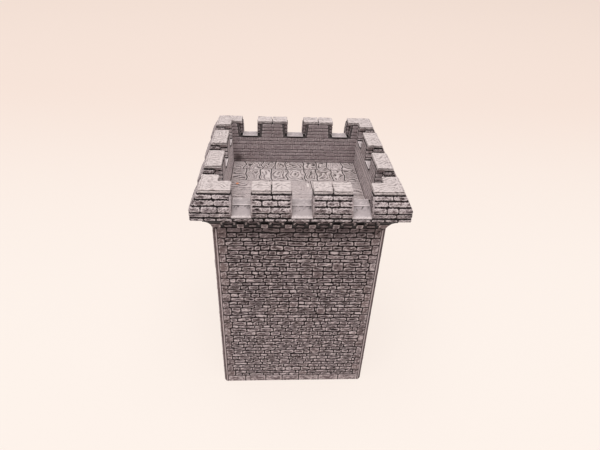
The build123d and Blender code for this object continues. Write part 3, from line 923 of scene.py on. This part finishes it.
def pickFaces(piece, test):    # the same for whole faces
    pickVerts(piece, lambda co: False)
    bpy.ops.mesh.select_mode(type="FACE")
    bpy.ops.object.mode_set(mode="OBJECT")
    for face in piece.data.polygons:
        face.select = test(face)
    bpy.ops.object.mode_set(mode="EDIT")


def moveVerts(piece, test, offset):
    pickVerts(piece, test)
    bpy.ops.transform.translate(value=offset)


def startBlock(name, low, high):
    bpy.ops.object.select_all(action="DESELECT")
    low, high = Vector(low), Vector(high)
    bpy.ops.mesh.primitive_cube_add(size=1, location=(low + high) / 2, scale=high - low)
    piece = bpy.context.object
    piece.name = piece.data.name = name
    bpy.ops.object.transform_apply(location=True, rotation=True, scale=True)
    bpy.ops.object.mode_set(mode="EDIT")
    bpy.ops.mesh.select_mode(type="VERT")
    return piece


def roundEdges(look):
    bpy.ops.mesh.select_all(action="SELECT")
    bpy.ops.mesh.bevel(offset=look["round"], segments=look["roundSteps"], affect="EDGES")


def cutAt(axis, places):    # slices the whole piece across one axis
    normal = [0, 0, 0]
    normal[axis] = 1
    for place in places:
        bpy.ops.mesh.select_all(action="SELECT")
        bpy.ops.mesh.bisect(plane_co=[place * part for part in normal], plane_no=normal)


def cutBeside(axis, place):    # three slices, for a groove at the middle one
    cutAt(axis, (place - cap["strataWidth"], place, place + cap["strataWidth"]))


def cutStrata(piece):    # uneven grooves round the edge of a cap
    for seed, (up, deep) in enumerate(cap["strata"]):
        height = merlonTop + up
        cutBeside(2, height)
        pickVerts(piece, lambda co: abs(co.z - height) < trim["onPlane"])
        bpy.ops.transform.shrink_fatten(value=-deep)
        bpy.ops.transform.vertex_random(offset=cap["jitter"], seed=seed)


def cutLines(piece, axis, edge, inwards):    # shallow uneven lines on top, along one edge of a cap
    top = capTop - cap["topBand"]
    for seed, (back, deep) in enumerate(cap["lines"]):
        place = edge + inwards * (cap["slope"] + back)
        cutBeside(axis, place)
        moveVerts(piece, lambda co: abs(co[axis] - place) < trim["onPlane"] and co.z > top, (0, 0, -deep))
        bpy.ops.transform.vertex_random(offset=cap["jitter"] / 2, seed=cap["lineSeed"] + seed)


def addBands(piece, look):    # low wavy strata all over a cap
    bpy.ops.object.empty_add(rotation=(0, 0, math.radians(look["bandTurn"])))
    holder = bpy.context.object
    holder.scale = [look["bandScale"]] * 3
    texture = bpy.data.textures.new("bands", "WOOD")
    texture.wood_type = "BANDNOISE"
    texture.noise_scale, texture.turbulence = look["bandNoise"], look["bandSwirl"]
    modifier = piece.modifiers.new("bands", "DISPLACE")
    modifier.texture, modifier.texture_coords, modifier.texture_coords_object = texture, "OBJECT", holder
    modifier.strength, modifier.mid_level = look["bands"], 0.5
    bpy.context.view_layer.objects.active = piece
    bpy.ops.object.modifier_apply(modifier="bands")
    bpy.data.objects.remove(holder)


def makeClouds(look):    # displacement strengths with their textures, coarse then fine
    clouds = []
    for strength, size in look["lumps"]:
        texture = bpy.data.textures.new("clouds", "CLOUDS")
        texture.noise_scale, texture.noise_depth = size, 2
        clouds.append((strength, texture))
    return clouds


def wearDown(piece, clouds):    # uneven cast faces
    bpy.context.view_layer.objects.active = piece
    for strength, texture in clouds:
        modifier = piece.modifiers.new("lumps", "DISPLACE")
        modifier.texture, modifier.strength, modifier.mid_level = texture, strength, 0.5
        bpy.ops.object.modifier_apply(modifier="lumps")


def markWearAndShade(piece, rng, look):    # relief for the paint: low in hollows, high on ridges, with painted shade on steep sides, under the caps and on the sills' feet and inner faces
    mesh = piece.data
    places = np.array([vertex.co[:] for vertex in mesh.vertices])
    normals = np.array([vertex.normal[:] for vertex in mesh.vertices])
    ends = np.array([edge.vertices[:] for edge in mesh.edges])
    total, near = np.zeros(places.shape), np.zeros(len(places))
    for a, b in ((0, 1), (1, 0)):
        np.add.at(total, ends[:, a], places[ends[:, b]])
        np.add.at(near, ends[:, a], 1)
    hollow = ((total / near[:, None] - places) * normals).sum(1)
    relief = look["flat"] - hollow / look["sharp"] + rng.normal(0, trim["speckle"], len(places))
    # painted shade: steep sides darker than the tops
    relief -= look["sidePaintedShade"] * np.clip(1 - normals[:, 2] / trim["steep"], 0, 1)
    out, along, up = np.abs(places[:, :2]).max(1), np.abs(places[:, :2]).min(1), places[:, 2]
    if "wear" in look:
        relief += np.interp(out, *zip(*look["wear"]))
    # painted shade under each cap; the sills' feet and inner faces are partly dark joint, partly painted
    # shade
    under = (up < look["foot"]) & (out > bodyFace)
    if "endStrip" in look:    # the painted shadow line under a cap stops short of its ends
        under &= np.abs(along[:, None] - (merlonStart, merlonEnd, cornerStart)).min(1) > look["endStrip"]
    relief[under | ((out < innerFace) & (up < sillTop + trim["foldMargin"]))] = 0
    markPoints(mesh, np.clip(relief, 0, hewing["mostRelief"]), np.full(len(places), look["tint"]))


def turned(piece, name, angle):    # a copy with its own mesh, turned about the tower's axis
    copy = piece.copy()
    copy.data = piece.data.copy()
    copy.name = copy.data.name = name
    copy.data.transform(Matrix.Rotation(math.radians(angle), 4, "Z"))
    bpy.context.scene.collection.objects.link(copy)
    return copy


def joinPieces(name, pieces):
    bpy.ops.object.select_all(action="DESELECT")
    for piece in pieces:
        piece.select_set(True)
    bpy.context.view_layer.objects.active = pieces[0]
    bpy.ops.object.join()
    bpy.ops.object.shade_smooth_by_angle(angle=math.radians(trim["smoothAngle"]))
    pieces[0].name = pieces[0].data.name = name
    return pieces[0]


capClouds, sillClouds = makeClouds(cap), makeClouds(sill)
trimRng = np.random.default_rng(seeds["trim"])


def shapeCap(piece, left, right, back, edges):    # edges: axis, place and way inwards of each outer edge
    low, grid = capTop - trim["near"], cap["grid"]
    for axis, edge, inwards in edges:
        offset = [0, 0, 0]
        offset[axis] = cap["slope"] * inwards
        moveVerts(piece, lambda co: co.z > low and abs(co[axis] - edge) < trim["near"], offset)
    roundEdges(cap)
    cutAt(0, np.arange(left + grid, right, grid))
    cutAt(1, np.arange(-capFace + grid, back, grid))
    for axis, edge, inwards in edges:
        cutLines(piece, axis, edge, inwards)
    cutStrata(piece)
    bpy.ops.object.mode_set(mode="OBJECT")
    return piece


def makeCap(u0, u1):
    piece = startBlock("capStone", (u0, -capFace, merlonTop - cap["drop"]), (u1, -capInner, capTop))
    return shapeCap(piece, u0, u1, -capInner, [(1, -capFace, 1)])


def makeCornerCap():    # a block at the corner, drawn out into two legs
    low = (capInner, -capFace, merlonTop - cap["drop"])
    piece = startBlock("cornerCap", low, (capFace, -capInner, capTop))
    for axis, inwards in ((0, -1), (1, 1)):
        pickFaces(piece, lambda face: face.normal[axis] * inwards > trim["facing"]
                  and abs(face.center[1 - axis]) > capInner)
        leg = [0, 0, 0]
        leg[axis] = (capInner - cornerStart) * inwards
        bpy.ops.mesh.extrude_region_move(TRANSFORM_OT_translate={"value": leg})
    return shapeCap(piece, cornerStart, capFace, -cornerStart, [(1, -capFace, 1), (0, capFace, -1)])


def makeSill(u0, u1):    # a flat slab over the wall, then a slope down to the belt
    under, top, near = sillTop - sill["thick"], sillTop + sill["proud"], trim["near"]
    piece = startBlock("sillStone", (u0, -sillOuter, beltTop - sill["depth"]), (u1, -bodyFace, top))
    cutAt(1, [-sillCrest])
    cutAt(2, [under])
    moveVerts(piece, lambda co: co.z > under - near and co.y < -sillOuter + near,
              (0, 0, beltTop + sill["lip"] - sillTop - sill["proud"]))
    pickFaces(piece, lambda face: face.normal.y > trim["facing"] and face.center.z > under)
    inwards = (0, bodyFace - innerFace + sill["overhang"], 0)
    bpy.ops.mesh.extrude_region_move(TRANSFORM_OT_translate={"value": inwards})
    moveVerts(piece, lambda co: co.z > sillTop and abs(co.y + sillCrest) < near, (0, 0, sill["crest"]))
    roundEdges(sill)
    cutAt(0, np.arange(u0 + sill["grid"], u1, sill["grid"]))
    cutAt(1, [-place for place, relief in sill["wear"]])
    cutAt(1, np.arange(-sillOuter + 2 * sill["grid"], -sillCrest - sill["crestRoom"], sill["grid"]))
    cutAt(1, np.arange(-sillCrest + sill["crestRoom"], -innerFace - sill["innerRoom"], sill["grid"]))
    bpy.ops.object.mode_set(mode="OBJECT")
    return piece


def finishTrim(piece, look, clouds, finish, *nodes):
    if "bands" in look:
        addBands(piece, look)
    wearDown(piece, clouds)
    markWearAndShade(piece, trimRng, look)
    piece.data.materials.clear()
    piece.data.materials.append(finishes[finish])
    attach(piece, "root")
    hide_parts(*nodes)
    print(piece.name, len(piece.data.polygons), "faces")


merlonMiddle, halfJoint = (merlonStart + merlonEnd) / 2, cap["joint"] / 2
capSpans = [(merlonStart, merlonMiddle - halfJoint), (merlonMiddle + halfJoint, merlonEnd)]
capSpans += [(-b, -a) for a, b in capSpans]
sillSpans = [(-merlonStart, merlonStart), (merlonEnd, cornerStart), (-cornerStart, -merlonEnd)]
frontCaps = [makeCap(u0, u1) for u0, u1 in capSpans]
frontSills = [makeSill(u0 + sill["gap"], u1 - sill["gap"]) for u0, u1 in sillSpans]
frontCorner = makeCornerCap()
for side, corner, angle in sides:
    caps = joinPieces(f"{side}Caps", [turned(piece, f"{side}Cap", angle) for piece in frontCaps])
    finishTrim(caps, cap, capClouds, "capStone", f"{side}_merlon_caps")
    sills = joinPieces(f"{side}Sills", [turned(piece, f"{side}Sill", angle) for piece in frontSills])
    finishTrim(sills, sill, sillClouds, "sillStone", f"{side}_crenel_sills")
    cornerCap = joinPieces(f"{corner}Cap", [turned(frontCorner, f"{corner}Cap", angle)])
    finishTrim(cornerCap, cap, capClouds, "capStone", f"{corner}_corner_cap")
for piece in frontCaps + frontSills + [frontCorner]:
    bpy.data.objects.remove(piece)


# Stage, light and camera

stage = {"size": 12, "floor": (0.93, 0.88, 0.85), "near": (0.99, 0.89, 0.82), "far": (0.94, 0.77, 0.68),
         "fade": (-0.05, 0.6), "glow": 0.85, "roughness": 0.9, "shine": 0.1,
         "sky": (0.98, 0.93, 0.90), "skyStrength": 0.33,
         "lampPower": 60, "lampSize": 2.4, "lampPlace": (-0.15, -0.5, 2.4), "lampTarget": (0, 0, 0.1)}
view = {"place": (-13.73 * mm, -230.65 * mm, 246.71 * mm), "pitch": 33.6, "yaw": -4.14, "roll": 2.69,
        "lens": 26.63, "sensor": 36, "clip": 0.01}


def paleFloor():    # lit floor for the light, mostly plain pale colour for the camera
    f = Finish("paleFloor")
    away = f.part(f.places, "Y").ease(*stage["fade"])
    glow = f.node("ShaderNodeEmission", {}, {"Color": f.mix(away, stage["near"], stage["far"])})
    seen = f.node("ShaderNodeLightPath", {}, {}, "Is Camera Ray") * stage["glow"]
    lit = Wire(f, f.shader.outputs[0])
    both = f.node("ShaderNodeMixShader", {}, {0: seen, 1: lit, 2: glow})
    f.feed(next(n for n in f.tree.nodes if n.type == "OUTPUT_MATERIAL").inputs[0], both)
    return f.done(Base_Color=(*stage["floor"], 1), Roughness=stage["roughness"],
                  Specular_IOR_Level=stage["shine"])


bpy.ops.object.select_all(action="DESELECT")
bpy.ops.mesh.primitive_plane_add(size=stage["size"])
floor = bpy.context.object
floor.name = "floor"
floor.data.materials.append(paleFloor())

world = bpy.data.worlds.new("studio")
bpy.context.scene.world = world
world.use_nodes = True
backdrop = world.node_tree.nodes["Background"]
backdrop.inputs["Color"].default_value = (*stage["sky"], 1)
backdrop.inputs["Strength"].default_value = stage["skyStrength"]

lamp = bpy.data.objects.new("lamp", bpy.data.lights.new("lamp", "AREA"))
lamp.data.energy, lamp.data.size = stage["lampPower"], stage["lampSize"]
lamp.location = stage["lampPlace"]
lamp.rotation_euler = (Vector(stage["lampTarget"]) - lamp.location).to_track_quat("-Z", "Y").to_euler()
bpy.context.scene.collection.objects.link(lamp)

pitch, yaw, roll = (math.radians(view[key]) for key in ("pitch", "yaw", "roll"))
ahead = Vector((-math.sin(yaw) * math.cos(pitch), math.cos(yaw) * math.cos(pitch), -math.sin(pitch)))
level = Vector((math.cos(yaw), math.sin(yaw), 0))
upright = level.cross(ahead)
right = math.cos(roll) * level + math.sin(roll) * upright
top = -math.sin(roll) * level + math.cos(roll) * upright
camera = bpy.data.objects.new("camera", bpy.data.cameras.new("camera"))
camera.data.sensor_width, camera.data.lens = view["sensor"], view["lens"]
camera.data.clip_start = view["clip"]
camera.matrix_world = Matrix.Translation(view["place"]) @ Matrix((right, top, -ahead)).transposed().to_4x4()
bpy.context.scene.collection.objects.link(camera)
bpy.context.scene.camera = camera
bpy.context.scene.view_settings.view_transform = "Standard"
print("stage, light and camera set")

print("scene ready")
